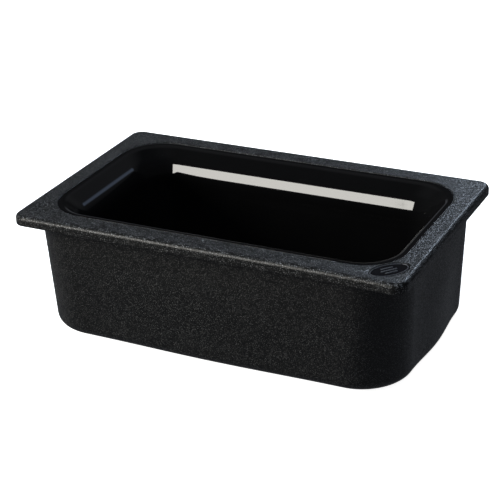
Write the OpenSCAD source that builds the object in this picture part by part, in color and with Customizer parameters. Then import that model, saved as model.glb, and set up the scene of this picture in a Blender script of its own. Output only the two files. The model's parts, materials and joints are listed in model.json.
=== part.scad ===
// Double-walled cold food pan. A textured outer shell and rim carry a glossy liner, and
// refrigerant gel and foam are sealed between them. Millimetres, +Z up, +X along the
// length. The origin is the centre of the base, on the surface that the pan stands on.

/* [Overall] */
// Length over the rim
rim_l = 530; // [500:5:600]
// Width over the rim
rim_w = 325; // [305:5:380]
// Height from the base to the top of the rim
height = 165; // [150:5:200]

/* [Rim] */
// Height of the rim's outer skirt
skirt_h = 13.5; // [12:0.5:16]
// Plan radius of the rim's outer corners
rim_corner_r = 17; // [15:1:24]
// Radius of the rim's rounded top edge
rim_edge_r = 6; // [5.5:0.5:9]
// Width of the flat land at the short ends
land_end = 26; // [25:0.5:30]
// Width of the flat land at the long sides
land_side = 29; // [28.5:0.5:34]
// Plan radius of the opening's corners
opening_r = 57; // [56:1:62]

/* [Body] */
// How far the rim overhangs the body at the short ends
overhang_end = 11.7; // [11:0.1:14]
// How far the rim overhangs the body at the long sides
overhang_side = 11; // [10.5:0.1:13]
// Plan radius of the body's corners
body_corner_r = 64; // [62:1:70]
// How far the outer wall leans in over its height
body_draft = 4.5; // [2:0.1:5]
// Radius where the outer wall meets the base
base_r = 14; // [10:0.5:16]
// Depth of the recess in the underside
base_recess = 2; // [1:0.5:2.5]

/* [Well] */
// Angle of the sloping shoulder's surface normal above the horizontal
shoulder_tilt = 38; // [34:1:42]
// Length of the straight part of the shoulder
shoulder_len = 14; // [12:1:20]
// Radius of the bend from the shoulder into the wall
bend_r = 50; // [34:1:52]
// Lean of the well's wall from the vertical, in degrees
well_draft = 2; // [1:0.5:3]
// Radius where the well's wall meets its floor
floor_r = 20; // [18:1:21]
// Height of the well's floor above the base
floor_z = 26; // [24:1:30]

/* [Walls] */
// Wall thickness of the shell
shell_t = 3.2; // [2.5:0.1:3.5]
// Wall thickness of the liner
liner_t = 3; // [2.5:0.1:3.5]
// Thickness of the gel jacket
gel_t = 12.7; // [10:0.1:13]
// Height of the top of the gel and foam, below which the cavity is full
fill_z = 138; // [120:1:140]

/* [Plugs] */
// Distance of each port from the middle of the pan
port_x = 150; // [120:5:165]
// Bore of the two ports in the base
port_d = 12.4; // [10:0.2:14]

/* [Badge] */
// Length of the oval badge
badge_l = 52; // [46:1:54]
// Width of the oval badge
badge_w = 29; // [24:1:30]
// Turn of the badge from the pan's length
badge_turn = 50; // [45:1:55]

/* [Hidden] */

// Clearances and small features
fit = 0.3;            // between the fillings and what holds them
weld_gap = 1;         // groove that each weld bead lies in
bead_gap = 0.1;       // from a bead to each side of its groove
rim_t = 4;            // thickness of the rim's top
skirt_t = 3.5;        // thickness of the rim's skirt
edge_w = 12;          // width of the rim's rounded edge section
ledge_w = 4.5;        // ledge under the liner's lip
ledge_back = 6;       // how far the ledge runs back under the rim
ledge_t = 4;
flange_t = 3;         // shell's flange, which closes the rim from below
flange_fillet = 4;    // under the shell's flange
base_top = 5;         // inner face of the shell's base
foot_w = 56;          // from the body's outline to the recess in the underside
recess_r = 26;        // plan radius of the recess's corners
rib_t = 4;            // rib that carries the rim's top on the shell's flange
lip_drop = 1;         // liner's lip below the land
lip_r = 8;            // round from the lip into the shoulder
section_depth = 40;   // how far a swept shell section reaches in from the wall
joint = 0.5;          // how far pieces of one solid run into each other
arc_step = 6;         // degrees between the points of a profile's arcs

// Body and opening outlines
body_l = rim_l - 2 * overhang_end;
body_w = rim_w - 2 * overhang_side;
opening_l = rim_l - 2 * land_end;
opening_w = rim_w - 2 * land_side;
skirt_z = height - skirt_h;
flange_l = rim_l - 2 * (skirt_t + weld_gap);
flange_w = rim_w - 2 * (skirt_t + weld_gap);
flange_r = rim_corner_r - skirt_t - weld_gap;
recess_l = body_l - 2 * foot_w;
recess_w = body_w - 2 * foot_w;

// Liner section: x is outward from the opening's outline, y is height. Each face
// normal leans inward and is given by its angle above the horizontal.
lip_z = height - lip_drop;
function normal(tilt) = [-cos(tilt), sin(tilt)];
function down(tilt) = [-sin(tilt), -cos(tilt)];
lip_centre = [-ledge_w, lip_z - lip_r];
shoulder_end = lip_centre + lip_r * normal(shoulder_tilt) + shoulder_len * down(shoulder_tilt);
bend_centre = shoulder_end - bend_r * normal(shoulder_tilt);
wall_top = bend_centre + bend_r * normal(well_draft);
fillet_z = floor_z + floor_r;
fillet_start_z = fillet_z - floor_r * sin(well_draft);
fillet_x = wall_top.x - tan(well_draft) * (wall_top.y - fillet_start_z)
           - floor_r * cos(well_draft);

// Points of an arc of surface from one normal to another
function arc_tilts(from, to) =
    let (steps = ceil(abs(to - from) / arc_step))
    [for (i = [0:steps]) from + (to - from) * i / steps];
// The liner's face at a depth into the material, from the shoulder's top to the floor
function shoulder_face(depth) = concat(
    [lip_centre + (lip_r - depth) * normal(shoulder_tilt)],
    [for (t = arc_tilts(shoulder_tilt, well_draft)) bend_centre + (bend_r - depth) * normal(t)],
    [for (t = arc_tilts(well_draft, 90))
        [fillet_x, fillet_z] - (floor_r + depth) * normal(t)],
    [[fillet_x - joint, floor_z - depth]]);
// The same face with the lip in front of it
function liner_face(depth) = concat(
    [[-weld_gap, lip_z - depth]],
    [for (t = arc_tilts(90, shoulder_tilt)) lip_centre + (lip_r - depth) * normal(t)],
    [for (p = shoulder_face(depth)) if (p != shoulder_face(depth)[0]) p]);
function reversed(list) = [for (i = [len(list) - 1:-1:0]) list[i]];

// Plugs and their ports
port_boss_d = port_d + 15;
port_boss_top = 12;
head_d = 21.6;
head_t = 1.8;
head_seat_d = 22.4;
head_seat_z = base_recess + 2;
shank_d = port_d - 0.4;
barb_d = port_d + 1.2;
seal_t = 1.65;
groove_z = head_seat_z + 2;
groove_h = 2.2;
barb_z = port_boss_top + 0.2;
barb_h = 4;
barb_rim_h = 0.8;
barb_tip_d = shank_d - 3;

// Floor spacers: hollow posts between the base and the liner
spacer_d = 14;
spacer_bore = 6;
spacer_at = [for (x = [-95, 0, 95]) for (y = [-42, 42]) [x, y]];

// Badge, in a pocket across the rim's front right corner
badge_at = [rim_l / 2 - 31, -rim_w / 2 + 33.7];
pocket_depth = 2.4;
badge_below = 0.6;     // badge's face below the land
adhesive_t = 0.3;
badge_ring_w = 1.6;    // raised ring round the badge
badge_relief = 0.5;    // height of the raised ring and bars

module rounded_rect(l, w, r) {
    square([l - 2 * r, w], center = true);
    square([l, w - 2 * r], center = true);
    for (x = [-1, 1]) for (y = [-1, 1])
        translate([x * (l / 2 - r), y * (w / 2 - r)]) circle(r, $fn = 96);
}

// Slab of a rounded rectangle between two heights
module slab(l, w, r, z0, z1) {
    translate([0, 0, z0]) linear_extrude(z1 - z0) rounded_rect(l, w, r);
}

// Carries a section round a rounded rectangle. The section's x is outward from the
// outline and its y is height.
module swept(l, w, r) {
    for (q = [0:3]) {
        side = q % 2 == 0 ? l : w;
        reach = q % 2 == 0 ? w : l;
        rotate(-90 * q) {
            translate([-(side / 2 - r), reach / 2, 0]) rotate([90, 0, 90])
                linear_extrude(side - 2 * r) children();
            translate([side / 2 - r, reach / 2 - r, 0]) rotate_extrude(angle = 90, $fn = 96)
                translate([r, 0]) children();
        }
    }
}

// Everything inward of the outer wall's face, as a section of the given depth. inset is
// how far the face lies inside the outer one.
module body_section(inset, z0, z1) {
    r = base_r - inset / 2;
    x0 = -body_draft - inset;
    difference() {
        union() {
            polygon([[-section_depth, z0 + r], [x0, z0 + r], [-inset, z1], [-section_depth, z1]]);
            translate([-section_depth, z0]) square([section_depth + x0 - r, r]);
            translate([x0 - r, z0 + r]) circle(r, $fn = 96);
        }
        translate([-2 * section_depth, z0 - 1]) square([section_depth, z1 - z0 + 2]);
    }
}

// The block inside the outer wall's face
module body_block(inset, z0, z1) {
    swept(body_l, body_w, body_corner_r) body_section(inset, z0, z1);
    slab(body_l - 2 * section_depth, body_w - 2 * section_depth,
         body_corner_r - section_depth, z0, z1);
}

// Ring between two slabs' outlines
module flat_ring(l, w, r, hole_l, hole_w, hole_r, z0, z1) {
    difference() {
        slab(l, w, r, z0, z1);
        slab(hole_l, hole_w, hole_r, z0 - 1, z1 + 1);
    }
}

module at_ports() {
    for (x = [-port_x, port_x]) translate([x, 0, 0]) children();
}

module outer_shell() {
    color([0.09, 0.09, 0.10]) difference() {
        union() {
            difference() {
                body_block(0, 0, skirt_z);
                body_block(shell_t, base_top, skirt_z + 1);
            }
            swept(body_l, body_w, body_corner_r) flange_root();
            flat_ring(flange_l, flange_w, flange_r, body_l - 2 * shell_t,
                      body_w - 2 * shell_t, body_corner_r - shell_t,
                      skirt_z, skirt_z + flange_t);
            at_ports() translate([0, 0, base_recess])
                cylinder(d = port_boss_d, h = port_boss_top - base_recess, $fn = 96);
        }
        slab(recess_l, recess_w, recess_r, -1, base_recess);
        at_ports() {
            cylinder(d = port_d, h = port_boss_top + 1, $fn = 96);
            cylinder(d = head_seat_d, h = head_seat_z, $fn = 96);
        }
    }
}

// Concave fillet between the wall and the flange
module flange_root() {
    difference() {
        translate([-1, skirt_z - flange_fillet]) square([1 + flange_fillet, flange_fillet]);
        translate([flange_fillet, skirt_z - flange_fillet]) circle(flange_fillet, $fn = 96);
        translate([-2, skirt_z - 2 * flange_fillet])
            square([1, 3 * flange_fillet]);
    }
}

// Quarter disc whose corner, at the origin, points inward and down
module quarter(r) {
    intersection() {
        circle(r, $fn = 96);
        square(r);
    }
}

// Section of the block under the rim's rounded edge
module edge_section(w, h, r) {
    translate([-w, 0]) square([w - r, h]);
    translate([-r, 0]) square([r, h - r]);
    translate([-r, h - r]) quarter(r);
}

// Section of the rim's rounded edge and skirt
module skirt_section() {
    translate([0, skirt_z]) difference() {
        edge_section(edge_w, skirt_h, rim_edge_r);
        translate([-skirt_t, -1])
            edge_section(edge_w, skirt_h - rim_t + 1, rim_edge_r - skirt_t);
    }
}

// Section of the ledge under the liner's lip, which hangs from the rim's top
module ledge_section() {
    ledge_z = height - rim_t - ledge_t;
    translate([-ledge_w, ledge_z]) square([ledge_w + ledge_back, ledge_t]);
    translate([joint, ledge_z]) square([ledge_back - joint, ledge_t + joint]);
}

module rim_frame() {
    color([0.15, 0.155, 0.17]) difference() {
        union() {
            swept(rim_l, rim_w, rim_corner_r) skirt_section();
            flat_ring(rim_l - 2 * edge_w + 2 * joint, rim_w - 2 * edge_w + 2 * joint,
                      rim_corner_r - edge_w + joint,
                      opening_l, opening_w, opening_r, height - rim_t, height);
            swept(opening_l, opening_w, opening_r) ledge_section();
            rib_z = skirt_z + flange_t;
            swept(body_l, body_w, body_corner_r) translate([-shell_t, rib_z])
                square([rib_t, height - rim_t - rib_z + joint]);
        }
        translate([0, 0, height - pocket_depth]) linear_extrude(pocket_depth + 1)
            badge_outline(0.2);
    }
}

module inner_liner() {
    color([0.03, 0.03, 0.035]) {
        swept(opening_l, opening_w, opening_r)
            polygon(concat(liner_face(0), reversed(liner_face(liner_t))));
        slab(opening_l + 2 * fillet_x, opening_w + 2 * fillet_x, opening_r + fillet_x,
             floor_z - liner_t, floor_z);
    }
}

// The block inside a face at some depth behind the liner's own face
module liner_block(depth) {
    top_z = 2 * height;
    face = shoulder_face(depth);
    swept(opening_l, opening_w, opening_r) polygon(concat(face,
        [[fillet_x - joint, top_z], [face[0].x, top_z]]));
    slab(opening_l + 2 * fillet_x, opening_w + 2 * fillet_x, opening_r + fillet_x,
         floor_z - depth, top_z);
}

module below_fill() {
    intersection() {
        children();
        translate([-rim_l / 2, -rim_w / 2, 0]) cube([rim_l, rim_w, fill_z]);
    }
}

// Clear holes round the posts and the port bosses
module filling_holes() {
    for (p = spacer_at) translate([p.x, p.y, 0])
        cylinder(d = spacer_d + 2 * fit, h = floor_z, $fn = 96);
    at_ports() cylinder(d = port_boss_d + 2 * fit, h = port_boss_top + 2 * fit, $fn = 96);
    at_ports() cylinder(d = barb_d + 2, h = floor_z - liner_t - 1, $fn = 96);
}

module refrigerant_gel() {
    color([0.25, 0.5, 0.75]) difference() {
        below_fill() liner_block(liner_t + gel_t);
        liner_block(liner_t + fit);
        filling_holes();
    }
}

module foam_core() {
    color([0.9, 0.88, 0.75]) difference() {
        body_block(shell_t + fit, base_top + fit, fill_z);
        liner_block(liner_t + gel_t + fit);
        filling_holes();
    }
}

module floor_spacers() {
    color([0.09, 0.09, 0.10]) for (p = spacer_at) translate([p.x, p.y, base_top])
        difference() {
            cylinder(d = spacer_d, h = floor_z - liner_t - base_top, $fn = 96);
            translate([0, 0, -1])
                cylinder(d = spacer_bore, h = floor_z, $fn = 96);
        }
}

// Bead that seals the liner's lip into the rim
module liner_weld() {
    color([0.05, 0.05, 0.055]) swept(opening_l, opening_w, opening_r)
        translate([-weld_gap + bead_gap, height - rim_t])
            square([weld_gap - 2 * bead_gap, rim_t - 1.6]);
}

// Bead that joins the rim's skirt to the shell's flange
module rim_weld() {
    color([0.12, 0.12, 0.13]) swept(flange_l, flange_w, flange_r)
        translate([bead_gap, skirt_z + 0.2])
            square([weld_gap - 2 * bead_gap, flange_t - 0.4]);
}

module plug() {
    rotate_extrude($fn = 96) {
        translate([0, head_seat_z - head_t]) square([head_d / 2, head_t]);
        translate([0, head_seat_z]) square([shank_d / 2, groove_z - head_seat_z]);
        translate([0, groove_z]) square([shank_d / 2 - seal_t, groove_h]);
        translate([0, groove_z + groove_h])
            square([shank_d / 2, barb_z - groove_z - groove_h]);
        translate([0, barb_z])
            polygon([[0, 0], [barb_d / 2, 0], [barb_d / 2, barb_rim_h],
                     [barb_tip_d / 2, barb_h], [0, barb_h]]);
    }
}

// O-ring in the plug's groove
module plug_seal() {
    translate([0, 0, groove_z + groove_h / 2]) rotate_extrude($fn = 96)
        translate([shank_d / 2 - seal_t / 2 + 0.1, 0]) circle(d = seal_t - 0.05, $fn = 48);
}

module fill_plug() {
    color([0.11, 0.11, 0.12]) translate([port_x, 0, 0]) plug();
}

module fill_plug_seal() {
    color([0.02, 0.02, 0.02]) translate([port_x, 0, 0]) plug_seal();
}

module vent_plug() {
    color([0.11, 0.11, 0.12]) translate([-port_x, 0, 0]) plug();
}

module vent_plug_seal() {
    color([0.02, 0.02, 0.02]) translate([-port_x, 0, 0]) plug_seal();
}

// Oval across the corner, grown or shrunk by a margin
module badge_outline(margin) {
    steps = 60;
    a = badge_l / 2 + margin;
    b = badge_w / 2 + margin;
    translate(badge_at) rotate(badge_turn) polygon([for (i = [0:steps - 1])
        [a * cos(360 * i / steps), b * sin(360 * i / steps)]]);
}

module badge_disc() {
    top_z = height - badge_below;
    bar_l = badge_l * 0.34;
    color([0.05, 0.05, 0.055]) {
        translate([0, 0, height - pocket_depth + adhesive_t])
            linear_extrude(pocket_depth - adhesive_t - badge_below) badge_outline(0);
        translate([0, 0, top_z]) linear_extrude(badge_relief) {
            difference() {
                badge_outline(-0.8);
                badge_outline(-0.8 - badge_ring_w);
            }
            translate(badge_at) rotate(badge_turn) for (i = [-1:1])
                translate([0, i * badge_w * 0.17])
                    square([bar_l * (1 - 0.25 * abs(i)), 1.4], center = true);
        }
    }
}

module badge_adhesive() {
    color([0.6, 0.6, 0.55]) translate([0, 0, height - pocket_depth])
        linear_extrude(adhesive_t) badge_outline(-1.5);
}

outer_shell();
rim_frame();
inner_liner();
refrigerant_gel();
foam_core();
floor_spacers();
liner_weld();
rim_weld();
fill_plug();
fill_plug_seal();
vent_plug();
vent_plug_seal();
badge_disc();
badge_adhesive();
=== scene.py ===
import json
import math

import bmesh
import bpy
from mathutils import Matrix, Vector

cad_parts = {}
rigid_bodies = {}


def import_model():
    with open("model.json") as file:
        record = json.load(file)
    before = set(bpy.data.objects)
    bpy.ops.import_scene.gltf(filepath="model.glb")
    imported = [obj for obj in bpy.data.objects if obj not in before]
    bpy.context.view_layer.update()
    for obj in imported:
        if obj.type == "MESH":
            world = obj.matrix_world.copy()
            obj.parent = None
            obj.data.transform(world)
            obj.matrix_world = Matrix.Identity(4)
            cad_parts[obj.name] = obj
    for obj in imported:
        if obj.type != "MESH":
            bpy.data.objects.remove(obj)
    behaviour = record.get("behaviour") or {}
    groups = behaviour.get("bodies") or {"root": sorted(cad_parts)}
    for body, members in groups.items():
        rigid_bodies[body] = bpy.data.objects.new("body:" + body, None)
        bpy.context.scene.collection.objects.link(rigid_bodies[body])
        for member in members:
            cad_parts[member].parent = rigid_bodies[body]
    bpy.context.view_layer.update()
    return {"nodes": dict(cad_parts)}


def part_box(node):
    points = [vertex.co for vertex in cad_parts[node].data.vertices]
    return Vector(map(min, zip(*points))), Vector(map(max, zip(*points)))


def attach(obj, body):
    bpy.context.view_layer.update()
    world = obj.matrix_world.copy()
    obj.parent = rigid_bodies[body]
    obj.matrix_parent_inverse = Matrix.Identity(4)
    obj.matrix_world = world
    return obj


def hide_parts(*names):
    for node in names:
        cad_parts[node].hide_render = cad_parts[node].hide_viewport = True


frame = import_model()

MM = 0.001

# Stations of every outline: steps round a corner, along a long side and a short one
CORNER_STEPS = 32
LONG_STEPS = 48
SHORT_STEPS = 32

# Sizes, in millimetres, from the frame's boxes
rim_low, rim_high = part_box("rim_frame")
flange_low, flange_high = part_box("outer_shell")
lip_low, lip_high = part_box("inner_liner")
TOP = rim_high[2] / MM
RIM_L = (rim_high[0] - rim_low[0]) / MM
RIM_W = (rim_high[1] - rim_low[1]) / MM
SKIRT_Z = rim_low[2] / MM
FLANGE_L = (flange_high[0] - flange_low[0]) / MM
FLANGE_W = (flange_high[1] - flange_low[1]) / MM
FLANGE_TOP = flange_high[2] / MM
LIP_RAISE = 0.5        # how far the liner's lip is raised towards the rim's top
LIP_TOP = lip_high[2] / MM + LIP_RAISE
FLOOR_BACK = lip_low[2] / MM

# The rim
RIM_R = 17             # plan radius of the rim's corners
EDGE_R = 6             # rounded top edge
RIM_T = 4
SKIRT_T = 3.5
SKIRT_ROUND = 0.7
RIM_FACE_Z = (SKIRT_Z + 2.2, TOP - EDGE_R - 0.6)      # extra rings up the outer face
LAND_DIP = 0.12        # sink of the rim's land between its edges
LEDGE_W = 4.5          # the ledge under the liner's lip
LEDGE_T = 4
LEDGE_BACK = 6
RIB_T = 4              # the rib that stands on the shell's flange
GROOVE_W = 1
GROOVE_ROUND = 0.5
OPENING_L = (lip_high[0] - lip_low[0]) / MM + 2 * GROOVE_W
OPENING_W = (lip_high[1] - lip_low[1]) / MM + 2 * GROOVE_W
OPENING_R = 57

# The outer shell
BODY_L = RIM_L - 23.4
BODY_W = RIM_W - 22
BODY_R = 62
TAPER_L = 11.6         # how much shorter the body is at its base
TAPER_W = 6
FOOT_R = 67            # plan radius of the body's corners at its base
LONG_BOW = 3.2         # outward bow of the body's long and short sides
SHORT_BOW = 4.6
BOW_RATE = 1.6         # the bow is full 1 / BOW_RATE of the way down
BASE_R = 14
BASE_TOP = 5
SHELL_T = 3.2
FILLET_R = 4
FLANGE_EASE = 0.4      # eased edges of the flange
FOOT_W = 56            # from the body's outline to the recess in the underside
RECESS_DEPTH = 2
RECESS_R = 26
RECESS_ROUND = 0.8
PORT_X = 150           # the ports are this far either side of the middle
PORT_R = 6.2
PORT_STEPS = 64
SEAT_R = 11.2
SEAT_Z = 4
SEAT_EASE = 0.3
BOSS_R = 13.7
BOSS_TOP = 12

# The liner
LINER_T = 3
LIP_R = 8
SHOULDER_TILT = 38
SHOULDER_LEN = 15.2
BEND_R = 50
WELL_DRAFT = 2
WELL_FLOOR_R = 20
WELL_FLOOR = FLOOR_BACK + LINER_T
WELL_WIDER = 12        # how much larger the corners' plan radius is below the lip
WELL_REACH = 15        # how far in from the ledge the corners keep widening
FLOOR_SHARES = (0.96, 0.85, 0.65, 0.4, 0.15)          # rings inward on the well's floor

# The beads, and the flash that hangs from the rim's front edge
BEAD_GAP = 0.1
BEAD_INSET = 0.2       # of the rim's bead, from the ends of its groove
LINER_BEAD_TOP = TOP - 0.6
FLASH_AT = (-158, -122, -52, -14, 34, 86)
FLASH_HALF = (7, 6, 8, 6, 5, 6)
FLASH_DROP = 0.8
FLASH_T = 0.35
FLASH_ROOT = 0.1       # how far the flash reaches up into the rim
FLASH_STEPS = 12

# The badge and its pocket
badge_low, badge_high = (Vector(p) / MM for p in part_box("badge_disc"))
BADGE_AT = (badge_low + badge_high) / 2
BADGE_L = 52
BADGE_W = 29
BADGE_TURN = math.radians(50)
BADGE_FACE = TOP - 0.6
BADGE_EASE = 0.3       # eased edges of the badge
BADGE_DISH = ((-5, 0.1), (-9, 0.16))                  # margin and depth of the dished face
BADGE_RELIEF = 0.5
RING_OUTER = -0.8      # margins of the raised ring, inward from the badge's edge
RING_INNER = RING_OUTER - 1.6
BAR_L = BADGE_L * 0.42
BAR_W = 2.3
BAR_SPACING = BADGE_W * 0.19
BAR_SHORTER = 0.25     # how much shorter the outer bars are than the middle one
POCKET_DEPTH = 2.4
POCKET_GAP = 0.25
POCKET_FLARE = ((0, -0.3), (0.1, -0.1), (0.6, 3))     # margin and height over the rim
FILM_T = 0.3           # adhesive between the badge and the pocket's floor
OVAL_STEPS = 96
BAR_STEPS = 24

# The rim's front right corner, which has settled a little
DROOP = 1.6
DROOP_REACH = 120      # how far the droop reaches along the rim
DROOP_FROM = 140       # height below which nothing has settled
DROOP_EASE = 10        # height over which the droop comes in


# ---- Outlines and sections ----------------------------------------------------------

def outline(length, width, radius):
    """Stations round a rounded rectangle: place, outward normal, and how far along its
    side the station is, from 0 at a corner to 1 at the middle."""
    half_x = length / 2 - radius
    half_y = width / 2 - radius
    corners = [(half_x, half_y), (-half_x, half_y), (-half_x, -half_y), (half_x, -half_y)]
    stations = []
    for k, (cx, cy) in enumerate(corners):
        for i in range(CORNER_STEPS + 1):
            a = math.radians(90 * (k + i / CORNER_STEPS))
            n = (math.cos(a), math.sin(a))
            stations.append((cx + radius * n[0], cy + radius * n[1], n[0], n[1], 0.0))
        ex, ey = stations[-1][:2]
        nx, ny = corners[(k + 1) % 4]
        nx += radius * n[0]
        ny += radius * n[1]
        steps = LONG_STEPS if k % 2 == 0 else SHORT_STEPS
        for i in range(1, steps):
            t = i / steps
            stations.append((ex + (nx - ex) * t, ey + (ny - ey) * t, n[0], n[1],
                             math.sin(math.pi * t) ** 2))
    return stations


RIM = outline(RIM_L, RIM_W, RIM_R)
OPENING = outline(OPENING_L, OPENING_W, OPENING_R)
WELL = outline(OPENING_L, OPENING_W, OPENING_R + WELL_WIDER)
BODY = outline(BODY_L, BODY_W, BODY_R)
FOOT = outline(BODY_L - TAPER_L, BODY_W - TAPER_W, FOOT_R)
FLANGE = outline(FLANGE_L, FLANGE_W, RIM_R - SKIRT_T - GROOVE_W)
RECESS = outline(BODY_L - 2 * FOOT_W, BODY_W - 2 * FOOT_W, RECESS_R)


def ring(stations, offset, z):
    """The outline moved outward by offset, at height z."""
    return [(x + nx * offset, y + ny * offset, z) for x, y, nx, ny, side in stations]


def between(first, last, steps, dip):
    """Rings that lead from one ring to another, sinking by the dip in the middle."""
    rings = []
    for i in range(1, steps):
        t = i / steps
        drop = dip * math.sin(math.pi * t)
        rings.append([tuple(a + (b - a) * t - (drop if k == 2 else 0)
                            for k, (a, b) in enumerate(zip(p, q)))
                      for p, q in zip(first, last)])
    return rings


def arc(cx, cz, r, start, stop, steps):
    """Section points of an arc, by angle in degrees from outward."""
    return [(cx + r * math.cos(math.radians(start + (stop - start) * i / steps)),
             cz + r * math.sin(math.radians(start + (stop - start) * i / steps)))
            for i in range(steps + 1)]


def rings_of(stations, section):
    """One ring for each section point."""
    return [ring(stations, x, z) for x, z in section]


# ---- Meshes ---------------------------------------------------------------------------

def settled(p):
    """A vertex in metres, after the slight droop of the rim's front right corner."""
    x, y, z = p
    if z > DROOP_FROM:
        away = math.hypot(x - RIM_L / 2, y + RIM_W / 2) / DROOP_REACH
        if away < 1:
            z -= DROOP * (1 - away * away) ** 2 * min(1, (z - DROOP_FROM) / DROOP_EASE)
    return Vector((x, y, z)) * MM


def bridge(bm, first, last):
    """Quads between two closed rings of vertices."""
    n = len(first)
    for i in range(n):
        j = (i + 1) % n
        bm.faces.new((first[i], first[j], last[j], last[i]))


def loft(bm, rings, closed=False):
    """Skins the rings and returns their vertices."""
    rows = [[bm.verts.new(settled(p)) for p in points] for points in rings]
    for first, last in zip(rows, rows[1:]):
        bridge(bm, first, last)
    if closed:
        bridge(bm, rows[-1], rows[0])
    return rows


def capped_loft(bm, rings):
    """Skins the rings and closes both ends."""
    rows = loft(bm, rings)
    bm.faces.new(rows[0])
    bm.faces.new(rows[-1])


def edges_of(row):
    """The edges of a closed ring of vertices."""
    pairs = [(row[i], row[(i + 1) % len(row)]) for i in range(len(row))]
    return [next(e for e in a.link_edges if e.other_vert(a) is b) for a, b in pairs]


def fill_between(bm, rows):
    """Fills a flat area bounded by rings, of which all but the first are holes."""
    edges = [e for row in rows for e in edges_of(row)]
    bmesh.ops.triangle_fill(bm, edges=edges, use_beauty=True)


def mesh_object(name, bm, crease=35):
    """Ends a mesh: normals out, smooth faces and sharp edges past the crease angle."""
    bmesh.ops.recalc_face_normals(bm, faces=bm.faces)
    mesh = bpy.data.meshes.new(name)
    bm.to_mesh(mesh)
    bm.free()
    mesh.polygons.foreach_set("use_smooth", [True] * len(mesh.polygons))
    mesh.set_sharp_from_angle(angle=math.radians(crease))
    obj = bpy.data.objects.new(name, mesh)
    bpy.context.scene.collection.objects.link(obj)
    return obj


def carve(obj, cutter):
    """Cuts a closed mesh out of obj and throws the cutter away."""
    cut = obj.modifiers.new("cut", "BOOLEAN")
    cut.operation = "DIFFERENCE"
    cut.solver = "EXACT"
    cut.object = cutter
    bpy.context.view_layer.update()
    graph = bpy.context.evaluated_depsgraph_get()
    carved = bpy.data.meshes.new_from_object(obj.evaluated_get(graph))
    obj.modifiers.remove(cut)
    obj.data = carved
    bpy.data.objects.remove(cutter)


# ---- Rim ------------------------------------------------------------------------------

def rim_section():
    """Rings from the skirt's lower edge over the top and back along the underside."""
    under = TOP - RIM_T
    ledge = under - LEDGE_T
    inner_r = EDGE_R - SKIRT_T
    lower = SKIRT_Z + SKIRT_ROUND
    outer = arc(-SKIRT_ROUND, lower, SKIRT_ROUND, 270, 360, steps=4)
    outer += [(0, z) for z in RIM_FACE_Z]
    outer += arc(-EDGE_R, TOP - EDGE_R, EDGE_R, 0, 90, steps=20)
    rings = rings_of(RIM, outer)
    groove = arc(GROOVE_ROUND, TOP - GROOVE_ROUND, GROOVE_ROUND, 90, 180, steps=4)
    rings += between(rings[-1], ring(OPENING, *groove[0]), steps=10, dip=LAND_DIP)
    rings += rings_of(OPENING, groove + [(0, under), (-LEDGE_W, under), (-LEDGE_W, ledge),
                                         (LEDGE_BACK, ledge), (LEDGE_BACK, under)])
    rings += rings_of(BODY, [(-SHELL_T, under), (-SHELL_T, FLANGE_TOP),
                             (RIB_T - SHELL_T, FLANGE_TOP), (RIB_T - SHELL_T, under)])
    inner = arc(-EDGE_R, under - inner_r, inner_r, 90, 0, steps=8)
    inner += [(-SKIRT_T, lower)]
    inner += arc(SKIRT_ROUND - SKIRT_T, lower, SKIRT_ROUND, 180, 270, steps=4)[1:]
    return rings + rings_of(RIM, inner)


def on_badge(x, y, z):
    """A point given along and across the badge, in the frame's axes."""
    return (BADGE_AT.x + x * math.cos(BADGE_TURN) - y * math.sin(BADGE_TURN),
            BADGE_AT.y + x * math.sin(BADGE_TURN) + y * math.cos(BADGE_TURN), z)


def oval(margin, z):
    """Ring round the badge's outline, grown or shrunk by a margin."""
    points = []
    for i in range(OVAL_STEPS):
        t = 2 * math.pi * i / OVAL_STEPS
        x = (BADGE_L / 2 + margin) * math.cos(t)
        y = (BADGE_W / 2 + margin) * math.sin(t)
        points.append(on_badge(x, y, z))
    return points


def ovals(profile):
    """One oval for each margin and height."""
    return [oval(margin, z) for margin, z in profile]


def make_rim():
    """The rim, with the badge's pocket cut into it."""
    bm = bmesh.new()
    loft(bm, rim_section(), closed=True)
    rim = mesh_object("rim_moulding", bm)
    bm = bmesh.new()
    pocket = [(POCKET_GAP, TOP - POCKET_DEPTH)]
    pocket += [(POCKET_GAP + margin, TOP + z) for margin, z in POCKET_FLARE]
    capped_loft(bm, ovals(pocket))
    carve(rim, mesh_object("pocket_cutter", bm))
    return rim


# ---- Outer shell ----------------------------------------------------------------------

def body_ring(offset, z):
    """The body's outline at a height, moved outward by offset. It tapers to the foot, and
    its sides bow outward below the flange."""
    down = min(1, max(0, (SKIRT_Z - z) / (SKIRT_Z - BASE_R)))
    swell = min(1, down * BOW_RATE)
    swell *= swell * (3 - 2 * swell)
    points = []
    for (x, y, nx, ny, side), (fx, fy, *_) in zip(BODY, FOOT):
        bow = side * swell * (LONG_BOW if abs(ny) > 0.5 else SHORT_BOW)
        points.append((x + (fx - x) * down + nx * (offset + bow),
                       y + (fy - y) * down + ny * (offset + bow), z))
    return points


def wall(offset, z0, z1, steps):
    """Section points up or down a wall, without its ends."""
    return [(offset, z0 + (z1 - z0) * i / steps) for i in range(1, steps)]


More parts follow.
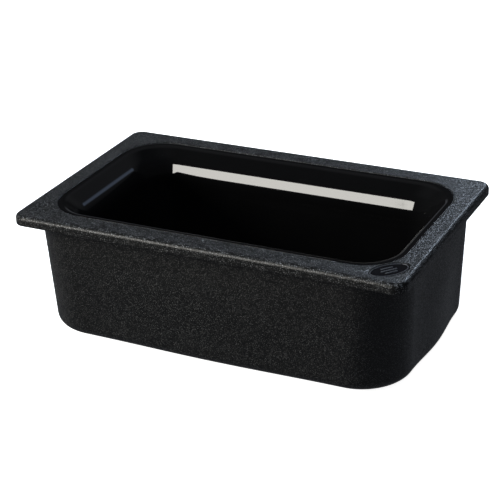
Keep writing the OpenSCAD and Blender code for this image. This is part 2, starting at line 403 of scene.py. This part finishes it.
def shell_rings():
    """Rings from the recess in the underside, round the outside and down the inside."""
    step = arc(RECESS_ROUND, RECESS_ROUND, RECESS_ROUND, 180, 270, steps=4)
    rings = rings_of(RECESS, [(0, RECESS_DEPTH)] + step)
    outer = arc(-BASE_R, BASE_R, BASE_R, 270, 360, steps=18)
    outer += wall(0, BASE_R, SKIRT_Z - FILLET_R, steps=14)
    outer += arc(FILLET_R, SKIRT_Z - FILLET_R, FILLET_R, 180, 90, steps=6)
    rings += [body_ring(x, z) for x, z in outer]
    rings += rings_of(FLANGE, [(-FLANGE_EASE, SKIRT_Z), (0, SKIRT_Z + FLANGE_EASE),
                               (0, FLANGE_TOP - FLANGE_EASE), (-FLANGE_EASE, FLANGE_TOP)])
    inner_r = BASE_R - SHELL_T / 2
    inner = [(-SHELL_T, FLANGE_TOP)]
    inner += wall(-SHELL_T, FLANGE_TOP, BASE_TOP + inner_r, steps=12)
    inner += arc(-SHELL_T - inner_r, BASE_TOP + inner_r, inner_r, 0, -90, steps=10)
    return rings + [body_ring(x, z) for x, z in inner]


def circle_ring(x, r, z):
    """Ring round a port."""
    angles = [2 * math.pi * i / PORT_STEPS for i in range(PORT_STEPS)]
    return [(x + r * math.cos(a), r * math.sin(a), z) for a in angles]


def make_shell():
    """The shell, with the two ports in its base."""
    bm = bmesh.new()
    rows = loft(bm, shell_rings())
    below = [rows[0]]
    above = [rows[-1]]
    for x in (-PORT_X, PORT_X):
        port = loft(bm, [circle_ring(x, r, z) for r, z in (
            (SEAT_R + SEAT_EASE, RECESS_DEPTH), (SEAT_R, RECESS_DEPTH + SEAT_EASE),
            (SEAT_R, SEAT_Z),
            (PORT_R, SEAT_Z), (PORT_R, BOSS_TOP), (BOSS_R, BOSS_TOP), (BOSS_R, BASE_TOP))])
        below.append(port[0])
        above.append(port[-1])
    fill_between(bm, below)
    fill_between(bm, above)
    return mesh_object("shell_moulding", bm)


# ---- Liner ----------------------------------------------------------------------------

def normal_at(tilt):
    """Unit normal that leans inward, by its angle above the horizontal."""
    return Vector((-math.cos(math.radians(tilt)), math.sin(math.radians(tilt))))


def tilts(start, stop, steps):
    """Evenly spaced tilts in degrees, with both ends."""
    return [start + (stop - start) * i / steps for i in range(steps + 1)]


def liner_section(depth):
    """The liner's face at a depth into the material, from its lip to its floor."""
    lip_centre = Vector((-LEDGE_W, LIP_TOP - LIP_R))
    down = Vector((-math.sin(math.radians(SHOULDER_TILT)),
                   -math.cos(math.radians(SHOULDER_TILT))))
    shoulder_top = lip_centre + LIP_R * normal_at(SHOULDER_TILT)
    shoulder_end = shoulder_top + SHOULDER_LEN * down
    bend_centre = shoulder_end - BEND_R * normal_at(SHOULDER_TILT)
    wall_top = bend_centre + BEND_R * normal_at(WELL_DRAFT)
    lean = math.radians(WELL_DRAFT)
    fillet_z = WELL_FLOOR + WELL_FLOOR_R
    drop = wall_top.y - (fillet_z - WELL_FLOOR_R * math.sin(lean))
    fillet = Vector((wall_top.x - math.tan(lean) * drop - WELL_FLOOR_R * math.cos(lean),
                     fillet_z))
    points = [lip_centre + (LIP_R - depth) * normal_at(t)
              for t in tilts(90, SHOULDER_TILT, 14)]
    a = points[-1]
    b = bend_centre + (BEND_R - depth) * normal_at(SHOULDER_TILT)
    points += [a.lerp(b, i / 6) for i in range(1, 6)]
    points += [bend_centre + (BEND_R - depth) * normal_at(t)
               for t in tilts(SHOULDER_TILT, WELL_DRAFT, 18)]
    a = points[-1]
    b = fillet - (WELL_FLOOR_R + depth) * normal_at(WELL_DRAFT)
    points += [a.lerp(b, i / 12) for i in range(1, 12)]
    points += [fillet - (WELL_FLOOR_R + depth) * normal_at(t)
               for t in tilts(WELL_DRAFT, 90, 22)]
    return [tuple(p) for p in points]


def floor_rings(edge):
    """Rings that shrink from the floor's edge to its middle."""
    return [[(x * s, y * s, z) for x, y, z in edge] for s in FLOOR_SHARES]


def liner_rings(depth):
    """The liner's face as rings. Its corners widen from the lip down to the bend."""
    rings = []
    for x, z in liner_section(depth):
        share = min(1, max(0, (-x - LEDGE_W) / WELL_REACH))
        upper = ring(OPENING, x, z)
        lower = ring(WELL, x, z)
        rings.append([(a + (c - a) * share, b + (d - b) * share, z)
                      for (a, b, _), (c, d, _) in zip(upper, lower)])
    return rings


def make_liner():
    """The liner, from the middle of its back round the lip to the middle of the well."""
    front = liner_rings(0)
    back = liner_rings(LINER_T)
    lip_edge = [(-GROOVE_W, LIP_TOP - LINER_T)]
    lip_edge += arc(-GROOVE_W - GROOVE_ROUND, LIP_TOP - GROOVE_ROUND, GROOVE_ROUND, 0, 90,
                    steps=4)
    rings = floor_rings(back[-1])[::-1] + back[::-1]
    rings += rings_of(OPENING, lip_edge) + front + floor_rings(front[-1])
    bm = bmesh.new()
    capped_loft(bm, rings)
    return mesh_object("liner_moulding", bm)


# ---- Beads and flash --------------------------------------------------------------------

def make_bead(name, stations, low, high, inner, outer):
    """A weld bead with a rounded top and bottom, in the groove between two mouldings."""
    r = (outer - inner) / 2
    middle = (inner + outer) / 2
    section = arc(middle, high - r, r, 0, 180, steps=8)
    section += arc(middle, low + r, r, 180, 360, steps=8)
    bm = bmesh.new()
    loft(bm, rings_of(stations, section), closed=True)
    return mesh_object(name, bm)


def make_flash():
    """Slivers of flash that hang from the lower edge of the rim's front."""
    bm = bmesh.new()
    for at, half in zip(FLASH_AT, FLASH_HALF):
        rows = []
        for i in range(FLASH_STEPS + 1):
            u = 2 * i / FLASH_STEPS - 1
            deep = FLASH_DROP * (1 - u * u) + 0.05
            thick = FLASH_T * (1 - 0.6 * u * u)
            x = at + half * u
            y = -RIM_W / 2 + SKIRT_ROUND
            top = SKIRT_Z + FLASH_ROOT
            edge = top - FLASH_ROOT
            rows.append([(x, y, top), (x, y - thick, top - FLASH_ROOT / 2),
                         (x, y - thick, edge - deep * 0.7), (x, y - thick / 2, edge - deep),
                         (x, y, edge - deep * 0.8)])
        capped_loft(bm, rows)
    return mesh_object("rim_flash", bm, crease=60)


# ---- Badge ------------------------------------------------------------------------------

def bar_ring(length, width, along, z):
    """Ring round a bar with round ends, on the badge."""
    points = []
    for i in range(BAR_STEPS):
        t = 2 * math.pi * (i + 0.5) / BAR_STEPS
        x = math.copysign(length / 2 - width / 2, math.cos(t)) + width / 2 * math.cos(t)
        y = along + width / 2 * math.sin(t)
        points.append(on_badge(x, y, z))
    return points


def make_badge():
    """Dark, slightly dished oval."""
    back = TOP - POCKET_DEPTH + FILM_T
    profile = [(-BADGE_EASE, back), (0, back + BADGE_EASE), (0, BADGE_FACE - BADGE_EASE),
               (-0.25, BADGE_FACE), (RING_OUTER, BADGE_FACE), (RING_INNER, BADGE_FACE)]
    profile += [(margin, BADGE_FACE - depth) for margin, depth in BADGE_DISH]
    bm = bmesh.new()
    capped_loft(bm, ovals(profile))
    return mesh_object("badge", bm)


def make_marks():
    """The badge's raised ring, and three plain bars inside it."""
    crest = BADGE_FACE + BADGE_RELIEF
    root = BADGE_FACE - BADGE_EASE
    bm = bmesh.new()
    loft(bm, ovals([(RING_OUTER, root), (RING_OUTER, BADGE_FACE), (RING_OUTER - 0.2, crest - 0.12),
                    (RING_OUTER - 0.5, crest), (RING_INNER + 0.5, crest),
                    (RING_INNER + 0.2, crest - 0.12), (RING_INNER, BADGE_FACE),
                    (RING_INNER, root)]), closed=True)
    for i in (-1, 0, 1):
        length = BAR_L * (1 - BAR_SHORTER * abs(i))
        crown = ((0, BADGE_FACE - 0.5), (0, crest - 0.3), (0.3, crest - 0.08), (0.7, crest))
        capped_loft(bm, [bar_ring(length - less, BAR_W - less, i * BAR_SPACING, z)
                         for less, z in crown])
    return mesh_object("badge_marks", bm)


# ---- Materials --------------------------------------------------------------------------

def new_material(name):
    """A material with its node tree and shader."""
    mat = bpy.data.materials.new(name)
    mat.use_nodes = True
    return mat, mat.node_tree, mat.node_tree.nodes["Principled BSDF"]


def feed(tree, node, **inputs):
    """Fills a node's inputs by name: with a value, or from a socket to link."""
    for key, value in inputs.items():
        socket = node.inputs[key.replace("_", " ")]
        if isinstance(value, bpy.types.NodeSocket):
            tree.links.new(value, socket)
        else:
            socket.default_value = value


def add(tree, kind, settings=None, **inputs):
    """A node with its settings and its inputs."""
    made = tree.nodes.new(kind)
    for key, value in (settings or {}).items():
        setattr(made, key, value)
    feed(tree, made, **inputs)
    return made


def place(tree):
    """The place on the object, in metres."""
    return add(tree, "ShaderNodeTexCoord").outputs["Object"]


def noise(tree, size, detail):
    """Noise with features of a size in millimetres."""
    made = add(tree, "ShaderNodeTexNoise", Vector=place(tree), Scale=1 / (size * MM),
               Detail=detail)
    return made.outputs["Fac"]


def remap(tree, value, from_low, from_high, to_low, to_high):
    """A number moved from one range to another and held inside it."""
    made = add(tree, "ShaderNodeMapRange", Value=value, From_Min=from_low,
               From_Max=from_high, To_Min=to_low, To_Max=to_high)
    return made.outputs["Result"]


def varied(tree, size, detail, low, high):
    """A number that drifts between two values, in patches of a size in millimetres."""
    return remap(tree, noise(tree, size, detail), 0.3, 0.7, low, high)


def blend(tree, factor, first, second):
    """Mixes two colours, each a tuple or a socket."""
    made = add(tree, "ShaderNodeMix", {"data_type": "RGBA"})
    tree.links.new(factor, made.inputs[0])
    for socket, value in ((made.inputs[6], first), (made.inputs[7], second)):
        if isinstance(value, bpy.types.NodeSocket):
            tree.links.new(value, socket)
        else:
            socket.default_value = (*value, 1)
    return made.outputs[2]


def bump(tree, height, distance, strength, base=None):
    """A normal for bumps of a height in millimetres, over a base normal if there is one."""
    made = add(tree, "ShaderNodeBump", Height=height, Distance=distance * MM,
               Strength=strength)
    if base is not None:
        tree.links.new(base, made.inputs["Normal"])
    return made.outputs["Normal"]


def multiply(tree, first, second):
    """The product of two sockets."""
    made = add(tree, "ShaderNodeMath", {"operation": "MULTIPLY"})
    tree.links.new(first, made.inputs[0])
    tree.links.new(second, made.inputs[1])
    return made.outputs[0]


def painted_sparkle_mask(tree, cells):
    """Mask of painted sparkle: a number that peaks in the middle of each grain, higher on some
    grains than others, where the colour is lightened to stand in for glints.
    """
    parts = add(tree, "ShaderNodeSeparateColor", Color=cells.outputs["Color"])
    peak = remap(tree, parts.outputs["Red"], 0.1, 1.0, 0.2, 1.0)
    crown = remap(tree, cells.outputs["Distance"], 0.08, 0.52, 1.0, 0.0)
    return multiply(tree, peak, multiply(tree, crown, crown))


def lean_of(tree, cells, tilt):
    """The surface normal, leaning a different way on each grain."""
    lean = add(tree, "ShaderNodeVectorMath", {"operation": "SUBTRACT"})
    tree.links.new(cells.outputs["Color"], lean.inputs[0])
    lean.inputs[1].default_value = (0.5, 0.5, 0.5)
    tilted = add(tree, "ShaderNodeVectorMath", {"operation": "SCALE"}, Scale=tilt)
    tree.links.new(lean.outputs[0], tilted.inputs[0])
    total = add(tree, "ShaderNodeVectorMath", {"operation": "ADD"})
    tree.links.new(tilted.outputs[0], total.inputs[0])
    tree.links.new(add(tree, "ShaderNodeNewGeometry").outputs["Normal"], total.inputs[1])
    unit = add(tree, "ShaderNodeVectorMath", {"operation": "NORMALIZE"})
    tree.links.new(total.outputs[0], unit.inputs[0])
    return unit.outputs[0]


def grained_plastic(name, dark, light, grain, tilt, rough, gloss):
    """Black plastic with a moulded pebble grain that sparkles where grains catch light, with
    painted sparkle: light flecks in its colour on the grains.
    """
    mat, tree, shader = new_material(name)
    cells = add(tree, "ShaderNodeTexVoronoi", Vector=place(tree), Scale=1 / (grain * MM))
    # The light colour is painted sparkle, glints painted on the middle of each grain; worn patches
    # then darken the colour at random.
    colour = blend(tree, painted_sparkle_mask(tree, cells), dark, light)
    wear_and_painted_sparkle = blend(tree, remap(tree, noise(tree, 30, 4.0), 0.35, 0.7, 0.0, 0.12), colour, dark)
    rough_now = varied(tree, grain * 1.7, 2.0, *rough)
    lean = lean_of(tree, cells, tilt)
    normal = bump(tree, cells.outputs["Distance"], -grain * 0.10, 0.5, lean)
    feed(tree, shader, Base_Color=wear_and_painted_sparkle, Roughness=rough_now, Normal=normal,
         Specular_IOR_Level=gloss)
    return mat


def scaled(colour, by):
    """A colour made lighter or darker."""
    return tuple(c * by for c in colour)


def gloss_plastic(name, colour, rough):
    """Polished black plastic with a faint moulded waviness."""
    mat, tree, shader = new_material(name)
    tint = blend(tree, noise(tree, 60, 3.0), colour, scaled(colour, 1.6))
    feed(tree, shader, Base_Color=tint, Roughness=varied(tree, 35, 5.0, *rough),
         Normal=bump(tree, noise(tree, 55, 1.0), 0.05, 0.5))
    return mat


def satin_plastic(name, colour, rough):
    """Moulded plastic with a fine matt finish."""
    mat, tree, shader = new_material(name)
    tint = blend(tree, noise(tree, 12, 4.0), scaled(colour, 0.7), scaled(colour, 1.4))
    feed(tree, shader, Base_Color=tint, Roughness=varied(tree, 4, 3.0, *rough),
         Normal=bump(tree, noise(tree, 0.5, 2.0), 0.04, 0.7))
    return mat


def gel_material():
    """Blue gel, cloudy, with fine bubbles."""
    mat, tree, shader = new_material("gel_blue")
    bubbles = add(tree, "ShaderNodeTexVoronoi", Vector=place(tree), Scale=1 / (6 * MM))
    spots = remap(tree, bubbles.outputs["Distance"], 0.05, 0.2, 1.0, 0.0)
    cloud = blend(tree, noise(tree, 40, 4.0), (0.10, 0.30, 0.52), (0.22, 0.45, 0.66))
    feed(tree, shader, Base_Color=blend(tree, spots, cloud, (0.55, 0.72, 0.85)),
         Roughness=varied(tree, 15, 3.0, 0.12, 0.28), Normal=bump(tree, spots, 0.2, 0.5),
         Subsurface_Weight=0.3)
    return mat


def foam_material():
    """Closed-cell foam, with cells of about a millimetre, each painted darker towards its hollow
    middle as painted shade.
    """
    mat, tree, shader = new_material("foam_cream")
    cells = add(tree, "ShaderNodeTexVoronoi", Vector=place(tree), Scale=1 / (1.2 * MM))
    depth = cells.outputs["Distance"]
    # Each cell is darker towards its hollow middle: painted shade.
    painted_cell_shade = blend(tree, remap(tree, depth, 0.0, 0.6, 1.0, 0.0), (0.80, 0.76, 0.62),
                  (0.58, 0.52, 0.38))
    feed(tree, shader,
         Base_Color=blend(tree, noise(tree, 50, 3.0), painted_cell_shade, (0.86, 0.82, 0.68)),
         Roughness=remap(tree, depth, 0.0, 0.6, 0.95, 0.75),
         Normal=bump(tree, depth, 0.4, 0.8))
    return mat


def soft_matt(name, colour):
    """Soft matt material with a bloom and fine moulding marks."""
    mat, tree, shader = new_material(name)
    bloom = blend(tree, remap(tree, noise(tree, 3, 4.0), 0.45, 0.75, 0.0, 1.0), colour,
                  tuple(c * 2.2 + 0.01 for c in colour))
    feed(tree, shader, Base_Color=bloom, Roughness=varied(tree, 1.5, 3.0, 0.55, 0.8),
         Normal=bump(tree, noise(tree, 0.4, 2.0), 0.03, 0.6))
    return mat


# ---- Pieces -------------------------------------------------------------------------------

def dress(obj, mat):
    """Gives an object its only material."""
    obj.data.materials.clear()
    obj.data.materials.append(mat)


def piece(obj, node, mat):
    """Finishes a piece: its material and body, and the CAD node it stands for, if any, which it
    hides.
    """
    dress(obj, mat)
    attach(obj, "root")
    if node:
        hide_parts(node)


GRAIN_DARK = (0.002, 0.002, 0.002)
# The light fleck colours below are painted sparkle on the grains, standing in for glints.
SHELL_BLACK = grained_plastic("shell_grain_painted_sparkle", GRAIN_DARK, light=(0.300, 0.300, 0.299),
                              grain=1.35, tilt=0.20, rough=(0.29, 0.40), gloss=0.48)
RIM_BLACK = grained_plastic("rim_grain_painted_sparkle", GRAIN_DARK, light=(0.430, 0.435, 0.440),
                            grain=1.7, tilt=0.18, rough=(0.36, 0.44), gloss=0.42)
LINER_BLACK = gloss_plastic("liner_gloss", (0.0021, 0.0021, 0.0022), (0.03, 0.06))
BEAD_BLACK = satin_plastic("bead_black", (0.008, 0.008, 0.009), (0.35, 0.5))
# The flash is lighter grey than the black plastic it is made of: painted glints on the slivers.
FLASH_PAINTED_GLINT = satin_plastic("flash_painted_glint", (0.06, 0.06, 0.06), (0.15, 0.25))
BADGE_BLACK = satin_plastic("badge_black", (0.004, 0.004, 0.005), (0.14, 0.22))
BADGE_GREY = satin_plastic("badge_grey", (0.045, 0.047, 0.052), (0.25, 0.35))
TRIM_BLACK = satin_plastic("trim_black", (0.020, 0.020, 0.022), (0.4, 0.55))
RUBBER_BLACK = soft_matt("seal_rubber", (0.012, 0.012, 0.012))
FILM = soft_matt("adhesive_film", (0.36, 0.36, 0.32))

piece(make_rim(), "rim_frame", RIM_BLACK)
piece(make_shell(), "outer_shell", SHELL_BLACK)
piece(make_liner(), "inner_liner", LINER_BLACK)
piece(make_bead("liner_bead", OPENING, TOP - RIM_T, LINER_BEAD_TOP, BEAD_GAP - GROOVE_W,
                -BEAD_GAP), "liner_weld", BEAD_BLACK)
piece(make_bead("rim_bead", FLANGE, SKIRT_Z + BEAD_INSET, FLANGE_TOP - BEAD_INSET, BEAD_GAP,
                GROOVE_W - BEAD_GAP), "rim_weld", BEAD_BLACK)
piece(make_flash(), None, FLASH_PAINTED_GLINT)
piece(make_badge(), "badge_disc", BADGE_BLACK)
piece(make_marks(), None, BADGE_GREY)

dress(frame["nodes"]["refrigerant_gel"], gel_material())
dress(frame["nodes"]["foam_core"], foam_material())
dress(frame["nodes"]["badge_adhesive"], FILM)
for name in ("floor_spacers", "fill_plug", "vent_plug"):
    dress(frame["nodes"][name], TRIM_BLACK)
for name in ("fill_plug_seal", "vent_plug_seal"):
    dress(frame["nodes"][name], RUBBER_BLACK)


# ---- Stage --------------------------------------------------------------------------------

FLOOR_R = 30           # metres, as are the other sizes of the stage
FLOOR_GAP = 0.0002     # under the pan's base

# The camera was fitted to the photo. Degrees, metres, and a lens in millimetres
CAMERA_TURN = (26.56, 25.26, -2.01)    # azimuth, elevation and roll
CAMERA_AIM = Vector((0, 0, 0.09785))
CAMERA_SHIFT = (-0.00784, -0.00574)    # of the aim, to the right and up
CAMERA_DISTANCE = 2.0202
CAMERA_LENS = 111.95
SENSOR_WIDTH = 36

# The studio's base light, and the direction, inner and outer half angle and colour of each
# soft glow in it
BASE = (0.019, 0.019, 0.020)
GLOWS = (
    ((0.3, 0.75, 0.6), 5, 38, (0.080, 0.082, 0.088)),
    ((-0.3, 0.1, 0.95), 10, 42, (0.085, 0.085, 0.090)),
    ((-0.52, 0.84, 0.13), 2, 11, (0.13, 0.137, 0.153)),
    ((0, 0, -1), 60, 95, (0.091, 0.098, 0.111)),
    ((0.534, 0.78, 0.322), 0, 4.0, (0.42, 0.55, 0.80)),
)


def make_floor():
    """A round, pale floor with a faint mottle. It emits light, and is left out of
    reflections and of diffuse light."""
    mat, tree, shader = new_material("floor_pale")
    tint = blend(tree, noise(tree, 300, 2.0), (0.80, 0.80, 0.80), (0.84, 0.84, 0.84))
    feed(tree, shader, Base_Color=tint, Roughness=0.9, Specular_IOR_Level=0.1,
         Emission_Color=(1, 1, 1, 1), Emission_Strength=0.95)
    bm = bmesh.new()
    bmesh.ops.create_circle(bm, cap_ends=True, segments=96, radius=FLOOR_R)
    floor = mesh_object("floor", bm)
    floor.location.z = -FLOOR_GAP
    dress(floor, mat)
    floor.visible_diffuse = False
    floor.visible_glossy = False


def softbox(name, at, aim, width, height, radiance, colour, glossy=True, diffuse=True):
    """A rectangular light with a given radiance, turned towards a point. It can be left out
    of reflections, or seen in reflections only."""
    light = bpy.data.lights.new(name, "AREA")
    light.shape = "RECTANGLE"
    light.size = width
    light.size_y = height
    light.energy = radiance * math.pi * width * height
    light.color = colour
    lamp = bpy.data.objects.new(name, light)
    lamp.location = at
    lamp.rotation_euler = (Vector(aim) - Vector(at)).to_track_quat("-Z", "Y").to_euler()
    lamp.visible_glossy = glossy
    lamp.visible_diffuse = diffuse
    bpy.context.scene.collection.objects.link(lamp)
    return lamp


def flag_off(lamp, names):
    """Keeps a light off some pieces, as a flag would in a studio."""
    flagged = bpy.data.collections.new(lamp.name + "_flagged")
    for i, name in enumerate(names):
        flagged.objects.link(bpy.data.objects[name])
        flagged.collection_objects[i].light_linking.link_state = "EXCLUDE"
    lamp.light_linking.receiver_collection = flagged


def glow(tree, toward, near, far, colour):
    """Light from a patch of the studio, by its direction and its inner and outer half
    angles in degrees."""
    aim = add(tree, "ShaderNodeVectorMath", {"operation": "DOT_PRODUCT"})
    tree.links.new(add(tree, "ShaderNodeTexCoord").outputs["Generated"], aim.inputs[0])
    aim.inputs[1].default_value = Vector(toward).normalized()
    fall = add(tree, "ShaderNodeMapRange", {"interpolation_type": "SMOOTHSTEP"},
               Value=aim.outputs["Value"], From_Min=math.cos(math.radians(far)),
               From_Max=math.cos(math.radians(near)))
    lit = add(tree, "ShaderNodeVectorMath", {"operation": "SCALE"},
              Scale=fall.outputs["Result"])
    lit.inputs[0].default_value = colour
    return lit.outputs[0]


def make_world():
    """Pale behind the object, and a dim studio with soft glows for everything else."""
    world = bpy.data.worlds.new("studio")
    world.use_nodes = True
    tree = world.node_tree
    tree.nodes.clear()
    light = BASE
    for toward, near, far, colour in GLOWS:
        both = add(tree, "ShaderNodeVectorMath", {"operation": "ADD"})
        tree.links.new(glow(tree, toward, near, far, colour), both.inputs[0])
        if light is BASE:
            both.inputs[1].default_value = BASE
        else:
            tree.links.new(light, both.inputs[1])
        light = both.outputs[0]
    dim = add(tree, "ShaderNodeBackground", Color=light, Strength=1.0)
    pale = add(tree, "ShaderNodeBackground", Color=(1.0, 1.0, 1.0, 1), Strength=1.0)
    mix = add(tree, "ShaderNodeMixShader")
    rays = add(tree, "ShaderNodeLightPath")
    tree.links.new(rays.outputs["Is Camera Ray"], mix.inputs[0])
    tree.links.new(dim.outputs[0], mix.inputs[1])
    tree.links.new(pale.outputs[0], mix.inputs[2])
    out = add(tree, "ShaderNodeOutputWorld")
    tree.links.new(mix.outputs[0], out.inputs[0])
    bpy.context.scene.world = world


def make_camera():
    """A long lens from the front right, looking down on the pan."""
    azimuth, elevation, roll = (math.radians(a) for a in CAMERA_TURN)
    back = Vector((math.sin(azimuth) * math.cos(elevation),
                   -math.cos(azimuth) * math.cos(elevation), math.sin(elevation)))
    right = Vector((math.cos(azimuth), math.sin(azimuth), 0))
    up = back.cross(right)
    target = CAMERA_AIM + CAMERA_SHIFT[0] * right + CAMERA_SHIFT[1] * up
    across = right * math.cos(roll) + up * math.sin(roll)
    lens = bpy.data.cameras.new("camera")
    lens.sensor_width = SENSOR_WIDTH
    lens.lens = CAMERA_LENS
    camera = bpy.data.objects.new("camera", lens)
    camera.location = target + back * CAMERA_DISTANCE
    upward = back.cross(across)
    camera.rotation_euler = Matrix((across, upward, back)).transposed().to_euler()
    bpy.context.scene.collection.objects.link(camera)
    bpy.context.scene.camera = camera


make_camera()
make_world()
make_floor()
softbox("key", at=(-0.90, -1.76, 0.89), aim=(-0.90, 0.105, 0.14), width=0.79, height=1.0,
        radiance=14.0, colour=(1.0, 0.98, 0.92), diffuse=False)
softbox("wash", at=(-6.64, -3.68, 2.84), aim=(0, -0.15, 0.1), width=2.6, height=2.6,
        radiance=40.0, colour=(1.0, 0.98, 0.915), glossy=False)
cool_back = softbox("cool_back", at=(0.10, 1.5, 1.05), aim=(0, 0, 0.15), width=0.3,
                    height=0.24, radiance=23.5, colour=(0.78, 0.92, 1.12))
flag_off(cool_back, ("liner_moulding", "badge", "badge_marks"))
softbox("overhead", at=(0, 0, 2.2), aim=(0, 0, 0), width=2.0, height=2.0, radiance=3.9,
        colour=(0.84, 0.96, 1.12), glossy=False)

bpy.context.scene.view_settings.view_transform = "Standard"
